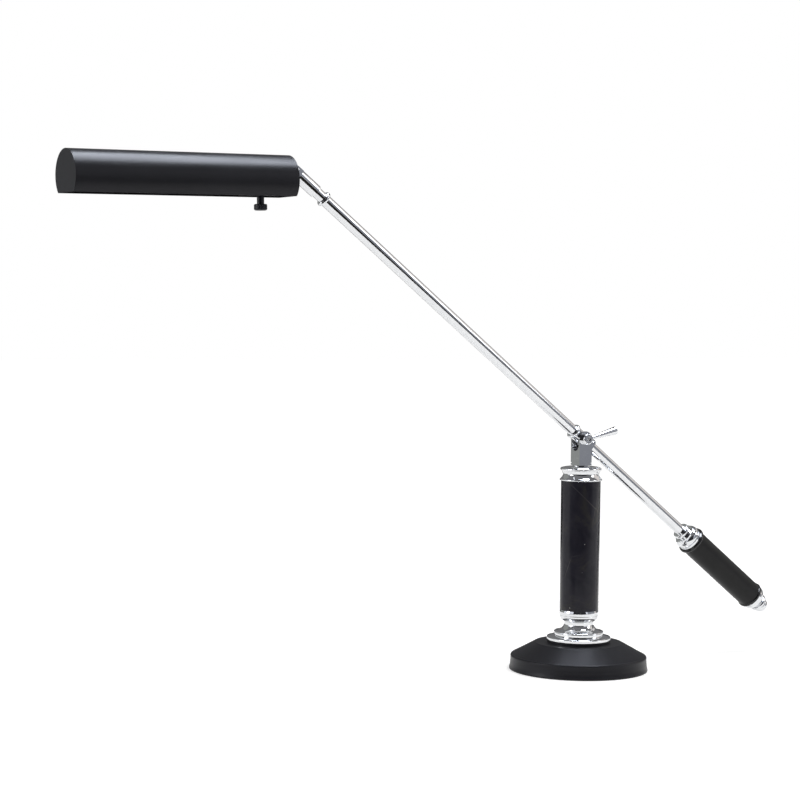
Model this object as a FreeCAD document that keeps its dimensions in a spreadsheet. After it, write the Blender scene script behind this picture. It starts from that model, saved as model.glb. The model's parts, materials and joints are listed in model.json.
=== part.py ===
import FreeCAD, Part
import math
import os
import Sketcher

# Counterbalanced piano lamp, in millimetres.
# The origin is the centre of the underside, +Z is up, and the arm lies in the XZ plane:
# the shade is on the -X side and the counterweight on the +X side.
# The lamp stands as it is used, with the arm raised and the shade drooping a little at its free end.

DOC = FreeCAD.newDocument("piano_lamp")
SHEET = DOC.addObject("Spreadsheet::Sheet", "Sizes")


class Size:
    """A length or an angle: its number, and the formula on the sheet that gives it."""

    def __init__(self, value, formula):
        self.value = value
        self.formula = formula

    def combine(self, other, sign, value):
        return Size(value, f"({self.formula} {sign} {other.formula})")

    def __add__(self, other):
        other = as_size(other)
        return self.combine(other, "+", self.value + other.value)

    def __sub__(self, other):
        other = as_size(other)
        return self.combine(other, "-", self.value - other.value)

    def __mul__(self, other):
        other = as_size(other)
        return self.combine(other, "*", self.value * other.value)

    def __truediv__(self, other):
        other = as_size(other)
        return self.combine(other, "/", self.value / other.value)

    def __neg__(self):
        return Size(-self.value, f"(-1 * {self.formula})")


def as_size(number):
    if isinstance(number, Size):
        return number
    return Size(float(number), repr(float(number)))


def cos(angle):
    return Size(math.cos(math.radians(angle.value)), f"cos({angle.formula} * 1 deg)")


def sin(angle):
    return Size(math.sin(math.radians(angle.value)), f"sin({angle.formula} * 1 deg)")


ROWS = []


def size(name, value):
    """Write one driving dimension on the sheet and return it."""
    row = len(ROWS) + 1
    ROWS.append(name)
    SHEET.set(f"A{row}", name)
    SHEET.set(f"B{row}", str(value))
    SHEET.setAlias(f"B{row}", name)
    return Size(float(value), f"Sizes.{name}")


# Clearances
running = size("running_clearance", 0.05)
fitting = size("fitting_clearance", 0.1)
gap = size("axial_gap", 0.15)
tip_flat = size("tip_flat", 0.4)

# Base
felt_radius = size("felt_radius", 77)
felt_thickness = size("felt_thickness", 2)
cover_lift = size("cover_lift", 0.5)
cover_wall = size("cover_wall", 1.6)
bottom_radius = size("bottom_radius", 82)
waist_radius = size("waist_radius", 80.8)
waist_height = size("waist_height", 9)
rim_radius = size("rim_radius", 80.6)
rim_height = size("rim_height", 16.9)
rim_rounding = size("rim_rounding", 2.2)
wall_hollow = size("wall_hollow", 0.3)
wall_swell = size("wall_swell", 0.2)
plateau_radius = size("plateau_radius", 52)
plateau_height = size("plateau_height", 32.6)
boss_radius = size("boss_radius", 37.2)
boss_height = size("boss_height", 3.6)
weight_inset = size("weight_inset", 0.4)
nut_recess_radius = size("nut_recess_radius", 14)
nut_recess_height = size("nut_recess_height", 9)
bushing_radius = size("bushing_radius", 4.5)
bushing_bore = size("bushing_bore", 3.2)
bushing_flange = size("bushing_flange", 5.6)
bushing_flange_length = size("bushing_flange_length", 4)
bushing_height = size("bushing_height", 8.8)
bushing_stand_out = size("bushing_stand_out", 2.4)
bushing_seat_gap = size("bushing_seat_gap", 0.5)
channel_width = size("channel_width", 13)

# Foot, column and cap
flange_radius = size("flange_radius", 37.9)
flange_height = size("flange_height", 5.6)
flange_edge = size("flange_edge", 2.4)
flange_rounding = size("flange_rounding", 1)
tier_radius = size("tier_radius", 29.7)
tier_height = size("tier_height", 4.3)
flare_height = size("flare_height", 7.9)
neck_radius = size("neck_radius", 17.3)
neck_height = size("neck_height", 3.4)
bowl_height = size("bowl_height", 7.3)
bowl_rim_inset = size("bowl_rim_inset", 0.4)
lower_ring_radius = size("lower_ring_radius", 23.3)
lower_ring_height = size("lower_ring_height", 6.5)
lower_ring_swell = size("lower_ring_swell", 0.6)
column_lower_radius = size("column_lower_radius", 22.95)
column_upper_radius = size("column_upper_radius", 23.35)
column_height = size("column_height", 153.6)
column_bore = size("column_bore", 13)
lip_radius = size("lip_radius", 25.1)
lip_height = size("lip_height", 1.8)
lip_swell = size("lip_swell", 0.4)
collar_height = size("collar_height", 6.5)
collar_radius = size("collar_radius", 20.8)
collar_hollow = size("collar_hollow", 0.5)
collar_land = size("collar_land", 0.8)
cup_radius = size("cup_radius", 12.8)
cup_bore = size("cup_bore", 10.8)
cup_depth = size("cup_depth", 20)
cup_floor = size("cup_floor", 3)
spigot_radius = size("spigot_radius", 16.9)
spigot_depth = size("spigot_depth", 2)
disc_radius = size("disc_radius", 24.4)
disc_under_height = size("disc_under_height", 3.4)
disc_edge_height = size("disc_edge_height", 3.6)
disc_dome_height = size("disc_dome_height", 1.5)
disc_foot_step = size("disc_foot_step", 0.8)
disc_under_hollow = size("disc_under_hollow", 0.2)
disc_flat_margin = size("disc_flat_margin", 1)
disc_dome_swell = size("disc_dome_swell", 0.4)
rod_radius = size("rod_radius", 5)
rod_bore = size("rod_bore", 3.2)
rod_nut_flats = size("rod_nut_flats", 14)
rod_nut_height = size("rod_nut_height", 4.5)
rod_end_length = size("rod_end_length", 0.8)
rod_washer_radius = size("rod_washer_radius", 11)
rod_washer_thickness = size("rod_washer_thickness", 1.5)

# Fork and clamp
pivot_rise = size("pivot_rise", 32.5)
fork_neck_radius = size("fork_neck_radius", 10.2)
fork_neck_height = size("fork_neck_height", 1)
fork_length = size("fork_length", 18)
fork_width = size("fork_width", 17.2)
fork_groove_drop = size("fork_groove_drop", 29.1)
fork_groove_width = size("fork_groove_width", 0.8)
slot_width = size("slot_width", 13.2)
slot_drop = size("slot_drop", 14.2)
bead_room = size("bead_room", 0.5)
stud_radius = size("stud_radius", 5)
stud_nut_flats = size("stud_nut_flats", 14)
stud_nut_height = size("stud_nut_height", 5)
stud_end_length = size("stud_end_length", 1)
swivel_washer_radius = size("swivel_washer_radius", 9)
swivel_washer_thickness = size("swivel_washer_thickness", 1.2)
screw_radius = size("screw_radius", 3)
clamp_washer_radius = size("clamp_washer_radius", 6.6)
clamp_washer_thickness = size("clamp_washer_thickness", 0.8)
clamp_nut_flats = size("clamp_nut_flats", 11)
clamp_nut_height = size("clamp_nut_height", 5.5)
clamp_nut_wall = size("clamp_nut_wall", 1.5)
clamp_nut_collar = size("clamp_nut_collar", 1)
clamp_nut_shoulder = size("clamp_nut_shoulder", 0.5)
clamp_nut_inset = size("clamp_nut_inset", 0.4)
screw_end_room = size("screw_end_room", 0.3)
hub_radius = size("hub_radius", 6.4)
hub_height = size("hub_height", 5)
hub_recess_radius = size("hub_recess_radius", 2)
hub_recess_depth = size("hub_recess_depth", 1.2)
lever_angle = size("lever_angle", 13)
lever_reach = size("lever_reach", 41.5)
lever_root_radius = size("lever_root_radius", 2.1)
lever_end_radius = size("lever_end_radius", 4.9)
lever_end_bulge = size("lever_end_bulge", 1.6)
lever_tang_radius = size("lever_tang_radius", 1.4)
lever_tang_length = size("lever_tang_length", 2.4)

# Arm
arm_elevation = size("arm_elevation", 37.2)
steepest_elevation = size("steepest_elevation", 43)
arm_radius = size("arm_radius", 6.5)
arm_bore = size("arm_bore", 5.5)
barrel_radius = size("barrel_radius", 7.8)
bead_radius = size("bead_radius", 9.2)
bead_start = size("bead_start", 12.8)
bead_end = size("bead_end", 16.4)
coupling_spigot_length = size("coupling_spigot_length", 16)
hinge_distance = size("hinge_distance", 491.1)
head_reach = size("head_reach", 50.2)
upper_tube_end = hinge_distance - head_reach
ferrule_radius = size("ferrule_radius", 8.7)
ferrule_length = size("ferrule_length", 4.2)
ferrule_spigot_length = size("ferrule_spigot_length", 14)
journal_radius = size("journal_radius", 4.5)
journal_bore = size("journal_bore", 2.6)
retainer_radius = size("retainer_radius", 5.6)
retainer_height = size("retainer_height", 3.5)
lower_tube_end = size("lower_tube_end", 252)

# Head and its hinge
head_neck_radius = size("head_neck_radius", 6)
head_neck_length = size("head_neck_length", 10.2)
head_radius = size("head_radius", 7.35)
head_step_length = size("head_step_length", 0.4)
ear_inset = size("ear_inset", 0.2)
ear_length = size("ear_length", 8)
ear_radius = size("ear_radius", 5.5)
tongue_width = size("tongue_width", 5)
pin_radius = size("pin_radius", 2)
pin_head_radius = size("pin_head_radius", 3.2)
pin_head_height = size("pin_head_height", 1.3)
hinge_to_shade = size("hinge_to_shade", 6.4)
hinge_above_axis = size("hinge_above_axis", 10.8)
shade_droop = size("shade_droop", 1.3)
tongue_stud_radius = size("tongue_stud_radius", 3)
tongue_nut_flats = size("tongue_nut_flats", 9)
tongue_nut_height = size("tongue_nut_height", 4)
stud_stand_out = size("stud_stand_out", 0.5)

# Shade, socket, bulb and switch
shade_radius = size("shade_radius", 26.8)
shade_length = size("shade_length", 254)
shade_wall = size("shade_wall", 0.8)
shade_chord = size("shade_chord", 17.7)
shade_lip = size("shade_lip", 2.5)
cap_plate = size("cap_plate", 1)
cap_flange = size("cap_flange", 6)
bracket_thickness = size("bracket_thickness", 2)
bracket_width = size("bracket_width", 24)
bracket_top = size("bracket_top", 18)
bracket_bottom = size("bracket_bottom", 12)
nipple_radius = size("nipple_radius", 3.5)
nipple_bore = size("nipple_bore", 2.2)
nipple_reach = size("nipple_reach", 6)
socket_start = size("socket_start", 10)
socket_radius = size("socket_radius", 17)
socket_edge = size("socket_edge", 2)
socket_edge_swell = size("socket_edge_swell", 0.5)
socket_solid_length = size("socket_solid_length", 30)
socket_cup_length = size("socket_cup_length", 22)
socket_cup_radius = size("socket_cup_radius", 15)
screw_shell_radius = size("screw_shell_radius", 14.2)
screw_shell_wall = size("screw_shell_wall", 0.5)
screw_shell_setback = size("screw_shell_setback", 0.5)
contact_radius = size("contact_radius", 3)
contact_height = size("contact_height", 2)
bulb_base_radius = size("bulb_base_radius", 13)
bulb_base_length = size("bulb_base_length", 24)
bulb_tip_radius = size("bulb_tip_radius", 4.5)
bulb_tip_height = size("bulb_tip_height", 3)
bulb_tip_flare = size("bulb_tip_flare", 1)
bulb_base_taper = size("bulb_base_taper", 2)
bulb_radius = size("bulb_radius", 15)
bulb_length = size("bulb_length", 112)
bulb_wall = size("bulb_wall", 0.8)
bulb_neck_radius = size("bulb_neck_radius", 12.4)
switch_distance = size("switch_distance", 33.3)
stem_radius = size("stem_radius", 3.9)
stem_insert = size("stem_insert", 5)
knob_radius = size("knob_radius", 7.1)
knob_height = size("knob_height", 6.8)
knob_drop = size("knob_drop", 25.8)
knob_bore_depth = size("knob_bore_depth", 5)
knob_rib_count = size("knob_rib_count", 24)
knob_rib_depth = size("knob_rib_depth", 0.35)

# Counterweight
collar_start = size("collar_start", 191.4)
collar_bead_radius = size("collar_bead_radius", 10.6)
collar_bead_length = size("collar_bead_length", 4.5)
collar_neck_radius = size("collar_neck_radius", 8.8)
collar_neck_length = size("collar_neck_length", 2.9)
bell_mouth_radius = size("bell_mouth_radius", 12.4)
bell_radius = size("bell_radius", 15.6)
bell_length = size("bell_length", 13)
bell_bulge = size("bell_bulge", 1.6)
front_ring_radius = size("front_ring_radius", 17.8)
rear_ring_radius = size("rear_ring_radius", 17.2)
ring_length = size("ring_length", 4.1)
sleeve_radius = size("sleeve_radius", 16)
sleeve_length = size("sleeve_length", 116.6)
core_radius = size("core_radius", 14.6)
dome_radius = size("dome_radius", 16)
dome_shoulder_radius = size("dome_shoulder_radius", 10)
dome_length = size("dome_length", 10.7)
finial_neck_radius = size("finial_neck_radius", 7.6)
finial_neck_length = size("finial_neck_length", 2.5)
finial_disc_radius = size("finial_disc_radius", 11.5)
finial_disc_length = size("finial_disc_length", 4.1)
finial_knob_radius = size("finial_knob_radius", 8.6)
finial_knob_length = size("finial_knob_length", 10.2)
finial_screw_radius = size("finial_screw_radius", 3)
finial_screw_length = size("finial_screw_length", 30)
finial_screw_room = size("finial_screw_room", 0.5)

ZERO = Size(0.0, "0")
PARTS = []


def bind(item, prop, value):
    item.setExpression(prop, as_size(value).formula)


def place(item, x=ZERO, y=ZERO, z=ZERO, axis=(0, 0, 1), angle=ZERO):
    """Put an object somewhere, turned about an axis, all by formula."""
    angle = as_size(angle)
    spot = [as_size(x), as_size(y), as_size(z)]
    base = FreeCAD.Vector(*[part.value for part in spot])
    turn = FreeCAD.Rotation(FreeCAD.Vector(*axis), angle.value)
    item.Placement = FreeCAD.Placement(base, turn)
    for name, part in zip("xyz", spot):
        if part.formula != "0":
            bind(item, f".Placement.Base.{name}", part)
    if angle.formula != "0":
        bind(item, ".Placement.Rotation.Angle", angle)
    return item


def keep(item, label):
    """Name a finished piece; its label names its file."""
    item.Label = label
    PARTS.append(item)
    return item


def origin_plane(body, role):
    for feature in body.Origin.OriginFeatures:
        if feature.Role == role:
            return feature
    raise ValueError(role)


def arc_geometry(start, end, bulge):
    """The arc from start to end whose middle stands off the chord, to the right of travel."""
    chord = end - start
    side = 1 if bulge > 0 else -1
    right = FreeCAD.Vector(chord.y, -chord.x, 0).normalize()
    radius = (chord.Length ** 2 / 4 + bulge ** 2) / (2 * abs(bulge))
    centre = (start + end) * 0.5 - right * side * (radius - abs(bulge))
    first, last = (start, end) if side > 0 else (end, start)
    angles = [math.atan2(point.y - centre.y, point.x - centre.x) for point in (first, last)]
    if angles[1] < angles[0]:
        angles[1] += 2 * math.pi
    circle = Part.Circle(centre, FreeCAD.Vector(0, 0, 1), radius)
    return Part.ArcOfCircle(circle, angles[0], angles[1])


def outline_sketch(body, name, role, outline):
    """A closed outline: points (across, up), or (across, up, bulge) where an arc leads there."""
    sketch = body.newObject("Sketcher::SketchObject", name)
    sketch.AttachmentSupport = (origin_plane(body, role), [""])
    sketch.MapMode = "FlatFace"
    corners = [tuple(as_size(part) for part in corner) for corner in outline]
    points = [FreeCAD.Vector(corner[0].value, corner[1].value, 0) for corner in corners]
    ends = []
    for index, corner in enumerate(corners):
        start = points[index - 1]
        end = points[index]
        if len(corner) == 3:
            sketch.addGeometry(arc_geometry(start, end, corner[2].value))
            ends.append((1, 2) if corner[2].value > 0 else (2, 1))
        else:
            sketch.addGeometry(Part.LineSegment(start, end))
            ends.append((1, 2))
    for index in range(len(corners)):
        following = (index + 1) % len(corners)
        sketch.addConstraint(
            Sketcher.Constraint("Coincident", index, ends[index][1], following, ends[following][0]))
    for index, corner in enumerate(corners):
        for kind, axis, part in (("DistanceX", -2, corner[0]), ("DistanceY", -1, corner[1])):
            if part.formula == "0":
                sketch.addConstraint(
                    Sketcher.Constraint("PointOnObject", index, ends[index][1], axis))
                continue
            number = sketch.addConstraint(
                Sketcher.Constraint(kind, -1, 1, index, ends[index][1], part.value))
            bind(sketch, f"Constraints[{number}]", part)
        if len(corner) == 3:
            before = corners[index - 1]
            across = corner[0] - before[0]
            rise = corner[1] - before[1]
            bulge = corner[2] if corner[2].value > 0 else -corner[2]
            radius = ((across * across + rise * rise) / 4 + bulge * bulge) / (bulge * 2)
            number = sketch.addConstraint(Sketcher.Constraint("Radius", index, radius.value))
            bind(sketch, f"Constraints[{number}]", radius)
    return sketch


def turned_blank(label, outline, **where):
    """A shape turned on a lathe: its half section, anticlockwise, from the axis outwards."""
    body = DOC.addObject("PartDesign::Body", label)
    sketch = outline_sketch(body, label + "_section", "XZ_Plane", outline)
    turn = body.newObject("PartDesign::Revolution", label + "_turn")
    turn.Profile = sketch
    turn.ReferenceAxis = (sketch, ["V_Axis"])
    turn.Angle = 360
    sketch.Visibility = False
    return place(body, **where)


def turned(label, outline, **where):
    """A finished piece turned on a lathe."""
    return keep(turned_blank(label, outline, **where), label)


def hexagon_blank(label, flats, bore, height, **where):
    """A six-sided pad with a bore."""
    body = DOC.addObject("PartDesign::Body", label)
    corner = flats / math.sqrt(3)
    half = flats / 2
    sketch = outline_sketch(body, label + "_hexagon", "XY_Plane", [
        (corner, ZERO), (corner / 2, half), (-(corner / 2), half),
        (-corner, ZERO), (-(corner / 2), -half), (corner / 2, -half)])
    pad = body.newObject("PartDesign::Pad", label + "_pad")
    pad.Profile = sketch
    bind(pad, "Length", height)
    ring = body.newObject("Sketcher::SketchObject", label + "_bore")
    ring.AttachmentSupport = (origin_plane(body, "XY_Plane"), [""])
    ring.MapMode = "FlatFace"
    ring.addGeometry(Part.Circle(FreeCAD.Vector(0, 0, 0), FreeCAD.Vector(0, 0, 1), bore.value))
    ring.addConstraint(Sketcher.Constraint("Coincident", 0, 3, -1, 1))
    number = ring.addConstraint(Sketcher.Constraint("Radius", 0, bore.value))
    bind(ring, f"Constraints[{number}]", bore)
    pocket = body.newObject("PartDesign::Pocket", label + "_hole")
    pocket.Profile = ring
    pocket.Type = "ThroughAll"
    pocket.Midplane = True
    return place(body, **where)


def hex_nut(label, flats, bore, height, **where):
    """A finished hexagon nut."""
    return keep(hexagon_blank(label, flats, bore, height, **where), label)


def cylinder(name, radius, height, **where):
    item = DOC.addObject("Part::Cylinder", name)
    bind(item, "Radius", radius)
    bind(item, "Height", height)
    return place(item, **where)


def block(name, length, width, height, **where):
    """A box centred on its own X and Y, standing on Z = 0."""
    item = DOC.addObject("Part::Box", name)
    bind(item, "Length", length)
    bind(item, "Width", width)
    bind(item, "Height", height)
    spot = {"x": where.pop("x", ZERO), "y": where.pop("y", ZERO), "z": where.pop("z", ZERO)}
    return place(item, x=as_size(spot["x"]) - length / 2, y=as_size(spot["y"]) - width / 2,
                 z=spot["z"], **where)


def fuse(name, *items):
    result = DOC.addObject("Part::MultiFuse", name)
    result.Shapes = list(items)
    return result


def common(name, *items):
    result = DOC.addObject("Part::MultiCommon", name)
    result.Shapes = list(items)
    return result


def cut(name, base, tool):
    result = DOC.addObject("Part::Cut", name)
    result.Base = base
    result.Tool = tool
    return result


# Heights up the column, each from the piece below it
plateau_top = plateau_height
boss_top = plateau_top + boss_height
flange_top = boss_top + flange_height
tier_top = flange_top + tier_height
foot_neck_top = tier_top + flare_height + neck_height + bowl_height
lower_ring_top = foot_neck_top + lower_ring_height
column_top = lower_ring_top + column_height
collar_top = column_top + lip_height + collar_height
disc_top = collar_top + disc_under_height + disc_edge_height + disc_dome_height
pivot_z = disc_top + pivot_rise
cup_bottom = column_top - cup_depth


# Base
def make_base():
    felt = cylinder("felt_disc", felt_radius, felt_thickness)
    keep(felt, "base_felt")

    inner_lift = cover_lift + cover_wall
    cover = turned_blank("cover_blank", [
        (bottom_radius - cover_wall, cover_lift),
        (bottom_radius - fitting, cover_lift),
        (bottom_radius, inner_lift, fitting / 2),
        (waist_radius, waist_height, -wall_hollow),
        (rim_radius, rim_height - rim_rounding / 2, -wall_swell),
        (rim_radius - rim_rounding, rim_height + rim_rounding / 2, rim_rounding / 4),
        (plateau_radius, plateau_top),
        (boss_radius, plateau_top),
        (boss_radius, boss_top),
        (rod_radius + fitting, boss_top),
        (rod_radius + fitting, boss_top - cover_wall),
        (boss_radius - cover_wall, boss_top - cover_wall),
        (boss_radius - cover_wall, plateau_top - cover_wall),
        (plateau_radius - cover_wall / 2, plateau_top - cover_wall),
        (rim_radius - rim_rounding - cover_wall / 2, rim_height + rim_rounding / 2 - cover_wall),
        (rim_radius - cover_wall, rim_height - rim_rounding),
        (waist_radius - cover_wall, waist_height)])
    port = cylinder("bushing_port", bushing_radius + running, bottom_radius,
                    z=bushing_height, axis=(1, 0, 0), angle=as_size(-90))
    keep(cut("cover_with_port", cover, port), "base_cover")

    weight_bottom = felt_thickness + fitting
    weight = turned_blank("weight_blank", [
        (rod_radius + fitting, weight_bottom + nut_recess_height),
        (nut_recess_radius, weight_bottom + nut_recess_height),
        (nut_recess_radius, weight_bottom),
        (waist_radius - cover_wall - weight_inset, weight_bottom),
        (waist_radius - cover_wall - weight_inset, rim_height - rim_rounding),
        (rim_radius - rim_rounding * 2 - cover_wall, rim_height - cover_wall * 2 + weight_inset),
        (plateau_radius - cover_wall * 2, plateau_top - cover_wall),
        (rod_radius + fitting, plateau_top - cover_wall)])
    half_channel = bottom_radius / 2
    channel = block("cord_channel", channel_width, bottom_radius, bushing_height + channel_width / 2,
                    y=half_channel)
    keep(cut("weight_with_channel", weight, channel), "base_weight")

    flange_end = waist_radius - cover_wall - bushing_seat_gap
    turned("cord_bushing", [
        (bushing_bore, ZERO),
        (bushing_flange, ZERO),
        (bushing_flange, bushing_flange_length),
        (bushing_radius, bushing_flange_length),
        (bushing_radius, bushing_flange_length + cover_wall + bushing_stand_out),
        (bushing_bore, bushing_flange_length + cover_wall + bushing_stand_out)],
        y=flange_end - bushing_flange_length, z=bushing_height, axis=(1, 0, 0), angle=as_size(-90))


# Threaded rod and its nuts
def make_rod():
    seat = felt_thickness + fitting + nut_recess_height
    washer_bottom = seat - rod_washer_thickness
    nut_bottom = washer_bottom - rod_nut_height
    rod_bottom = nut_bottom - rod_end_length
    nut_seat = cup_bottom + cup_floor
    rod_length = nut_seat + rod_nut_height + rod_end_length - rod_bottom
    turned("threaded_rod", [
        (rod_bore, ZERO), (rod_radius, ZERO), (rod_radius, rod_length), (rod_bore, rod_length)],
        z=rod_bottom)
    turned("rod_washer", [
        (rod_radius + fitting, ZERO), (rod_washer_radius, ZERO),
        (rod_washer_radius, rod_washer_thickness), (rod_radius + fitting, rod_washer_thickness)],
        z=washer_bottom)
    hex_nut("rod_nut", rod_nut_flats, rod_radius + running, rod_nut_height, z=nut_bottom)
    hex_nut("rod_top_nut", rod_nut_flats, rod_radius + running, rod_nut_height, z=nut_seat)


# Chrome foot, marble column and cap
def make_column():
    hole = rod_radius + fitting
    turned("foot_flange", [
        (hole, ZERO),
        (flange_radius, ZERO),
        (flange_radius, flange_edge),
        (flange_radius - flange_rounding, flange_edge + flange_rounding, flange_rounding / 5),
        (tier_radius - tier_height / 4, flange_height),
        (tier_radius - tier_height / 4, flange_height + tier_height / 2),
        (tier_radius - tier_height / 4, flange_height + tier_height, tier_height / 6),
        (hole, flange_height + tier_height)],
        z=boss_top)
    flare_start = tier_radius - tier_height / 2
    turned("foot_neck", [
        (hole, ZERO),
        (flare_start, ZERO),
        (neck_radius, flare_height, -(flare_height / 4)),
        (neck_radius, flare_height + neck_height),
        (lower_ring_radius - bowl_rim_inset, flare_height + neck_height + bowl_height,
         bowl_height / 5),
        (hole, flare_height + neck_height + bowl_height)],
        z=tier_top)
    turned("column_lower_ring", [
        (hole, ZERO),
        (lower_ring_radius - lower_ring_swell, ZERO),
        (lower_ring_radius - lower_ring_swell, lower_ring_height, lower_ring_swell),
        (hole, lower_ring_height)],
        z=foot_neck_top)
    turned("marble_column", [
        (column_bore, ZERO),
        (column_lower_radius, ZERO),
        (column_upper_radius, column_height),
        (column_bore, column_height)],
        z=lower_ring_top)
    rise = cup_depth + lip_height + collar_height
    turned("column_upper_ring", [
        (hole, ZERO),
        (cup_radius, ZERO),
        (cup_radius, cup_depth),
        (lip_radius - lip_swell, cup_depth),
        (lip_radius - lip_swell, cup_depth + lip_height, lip_swell),
        (collar_radius, rise - collar_land, -collar_hollow),
        (collar_radius, rise),
        (spigot_radius + fitting, rise),
        (spigot_radius + fitting, rise - spigot_depth),
        (cup_bore, rise - spigot_depth),
        (cup_bore, cup_floor),
        (hole, cup_floor)],
        z=cup_bottom)
    edge_bottom = spigot_depth + disc_under_height
    edge_top = edge_bottom + disc_edge_height
    turned("cap_disc", [
        (stud_radius + running, ZERO),
        (spigot_radius, ZERO),
        (spigot_radius, spigot_depth),
        (collar_radius + disc_foot_step, spigot_depth),
        (disc_radius - disc_edge_height / 3, edge_bottom, -disc_under_hollow),
        (disc_radius - disc_edge_height / 3, edge_top, disc_edge_height / 3),
        (fork_neck_radius + disc_flat_margin, edge_top + disc_dome_height, disc_dome_swell),
        (stud_radius + running, edge_top + disc_dome_height)],
        z=collar_top - spigot_depth)


# Fork that swivels on the column and carries the arm
def make_fork():
    neck_bottom = disc_top + gap
    neck_top = neck_bottom + fork_neck_height
    groove_z = pivot_z - fork_groove_drop
    cheek_radius = fork_length / 2
    body_bar = block("fork_bar", fork_length, fork_width, pivot_z - neck_top, z=neck_top)
    crown = cylinder("fork_crown", cheek_radius, fork_width, y=fork_width / 2, z=pivot_z,
                     axis=(1, 0, 0), angle=as_size(90))
    neck = cylinder("fork_neck", fork_neck_radius, fork_neck_height, z=neck_bottom)
    washer_top = collar_top - spigot_depth - gap
    stud_bottom = washer_top - swivel_washer_thickness - stud_nut_height - stud_end_length
    stud = cylinder("fork_stud", stud_radius, neck_bottom - stud_bottom, z=stud_bottom)
    solid = fuse("fork_solid", body_bar, crown, neck, stud)

    channel_top = block("slot_upper", fork_length * 2, slot_width, slot_drop + cheek_radius,
                        z=pivot_z - slot_drop + slot_width / 2)
    channel_floor = cylinder("slot_floor", slot_width / 2, fork_length * 2, x=-fork_length,
                             z=pivot_z - slot_drop + slot_width / 2, axis=(0, 1, 0),
                             angle=as_size(90))
    ramp_depth = bead_radius + bead_room
    ramp = DOC.addObject("Part::Box", "slot_ramp")
    bind(ramp, "Length", fork_length * 2)
    bind(ramp, "Width", slot_width)
    bind(ramp, "Height", ramp_depth)
    place(ramp, x=-(sin(steepest_elevation) * ramp_depth), y=-(slot_width / 2),
          z=pivot_z - cos(steepest_elevation) * ramp_depth, axis=(0, 1, 0),
          angle=steepest_elevation)
    bore = cylinder("fork_bore", screw_radius + running, fork_width * 2, y=fork_width, z=pivot_z,
                    axis=(1, 0, 0), angle=as_size(90))
    grooves = []
    for name, side in (("front", 1), ("back", -1)):
        grooves.append(block(f"groove_{name}", fork_length * 2, fork_groove_width * 2,
                             fork_groove_width, y=fork_width * side / 2, z=groove_z))
        grooves.append(block(f"groove_end_{name}", fork_groove_width * 2, fork_width * 2,
                             fork_groove_width, x=fork_length * side / 2, z=groove_z))
    tools = fuse("fork_cuts", channel_top, channel_floor, ramp, bore, *grooves)
    keep(cut("fork_finished", solid, tools), "fork_block")

    turned("swivel_washer", [
        (stud_radius + running, ZERO), (swivel_washer_radius, ZERO),
        (swivel_washer_radius, swivel_washer_thickness),
        (stud_radius + running, swivel_washer_thickness)],
        z=washer_top - swivel_washer_thickness)
    hex_nut("swivel_nut", stud_nut_flats, stud_radius + running, stud_nut_height,
            z=washer_top - swivel_washer_thickness - stud_nut_height)


# Clamp through the fork: washers, blind nut, screw, hub and lever
def make_clamp():
    cheek = fork_width / 2
    washers = []
    for name, start in (("near", -cheek), ("far", cheek + clamp_washer_thickness)):
        disc = cylinder(f"washer_{name}", clamp_washer_radius, clamp_washer_thickness, y=start,
                        z=pivot_z, axis=(1, 0, 0), angle=as_size(90))
        washers.append(disc)
    bore = cylinder("washer_bore", screw_radius + fitting, fork_width * 2, y=fork_width, z=pivot_z,
                    axis=(1, 0, 0), angle=as_size(90))
    keep(cut("washer_pair", fuse("washer_discs", *washers), bore), "clamp_washers")

    seat = cheek + clamp_washer_thickness
    nut_depth = clamp_nut_height + clamp_nut_wall
    dome = clamp_nut_flats / 2 - clamp_nut_inset
    nut = turned_blank("nut_dome", [
        (ZERO, clamp_nut_height), (screw_radius + running, clamp_nut_height),
        (screw_radius + running, ZERO), (dome, ZERO), (dome, clamp_nut_height - clamp_nut_shoulder),
        (tip_flat, nut_depth, clamp_nut_wall), (ZERO, nut_depth)])
    hexagon = hexagon_blank("nut_hexagon", clamp_nut_flats, screw_radius + running,
                            clamp_nut_height - clamp_nut_collar)
    joined = fuse("blind_nut", nut, hexagon)
    place(joined, y=seat, z=pivot_z, axis=(1, 0, 0), angle=as_size(-90))
    keep(joined, "clamp_nut")

    hub_start = seat + gap
    screw_end = seat + clamp_nut_height - screw_end_room
    screw_length = screw_end + hub_start + hub_height - hub_recess_depth
    turned("clamp_screw", [
        (ZERO, ZERO), (screw_radius, ZERO), (screw_radius, screw_length), (ZERO, screw_length)],
        y=screw_end, z=pivot_z, axis=(1, 0, 0), angle=as_size(90))
    hub = turned_blank("hub_blank", [
        (screw_radius + running / 2, ZERO), (hub_radius, ZERO),
        (hub_radius, hub_height - hub_recess_depth),
        (hub_radius - hub_recess_depth, hub_height, hub_recess_depth / 4),
        (screw_radius + running / 2, hub_height)],
        y=-hub_start, z=pivot_z, axis=(1, 0, 0), angle=as_size(90))
    lever_y = -(hub_start + hub_height / 2)
    lever_turn = as_size(90) - lever_angle
    tang_start = hub_radius - lever_tang_length
    hole = cylinder("tang_hole", lever_tang_radius + running, hub_radius * 2, y=lever_y, z=pivot_z,
                    axis=(0, 1, 0), angle=lever_turn)
    keep(cut("hub_with_hole", hub, hole), "clamp_hub")
    turned("clamp_lever", [
        (ZERO, tang_start), (lever_tang_radius, tang_start), (lever_tang_radius, hub_radius),
        (lever_root_radius, hub_radius), (lever_end_radius, lever_reach),
        (tip_flat, lever_reach + lever_end_bulge, lever_end_bulge / 4),
        (ZERO, lever_reach + lever_end_bulge)],
        y=lever_y, z=pivot_z, axis=(0, 1, 0), angle=lever_turn)


def along_arm(distance):
    """Where a piece lies whose own +Z runs up the arm, from a distance above the pivot."""
    return {"x": -(cos(arm_elevation) * distance), "z": pivot_z + sin(arm_elevation) * distance,
            "axis": (0, 1, 0), "angle": arm_elevation - 90}


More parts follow.
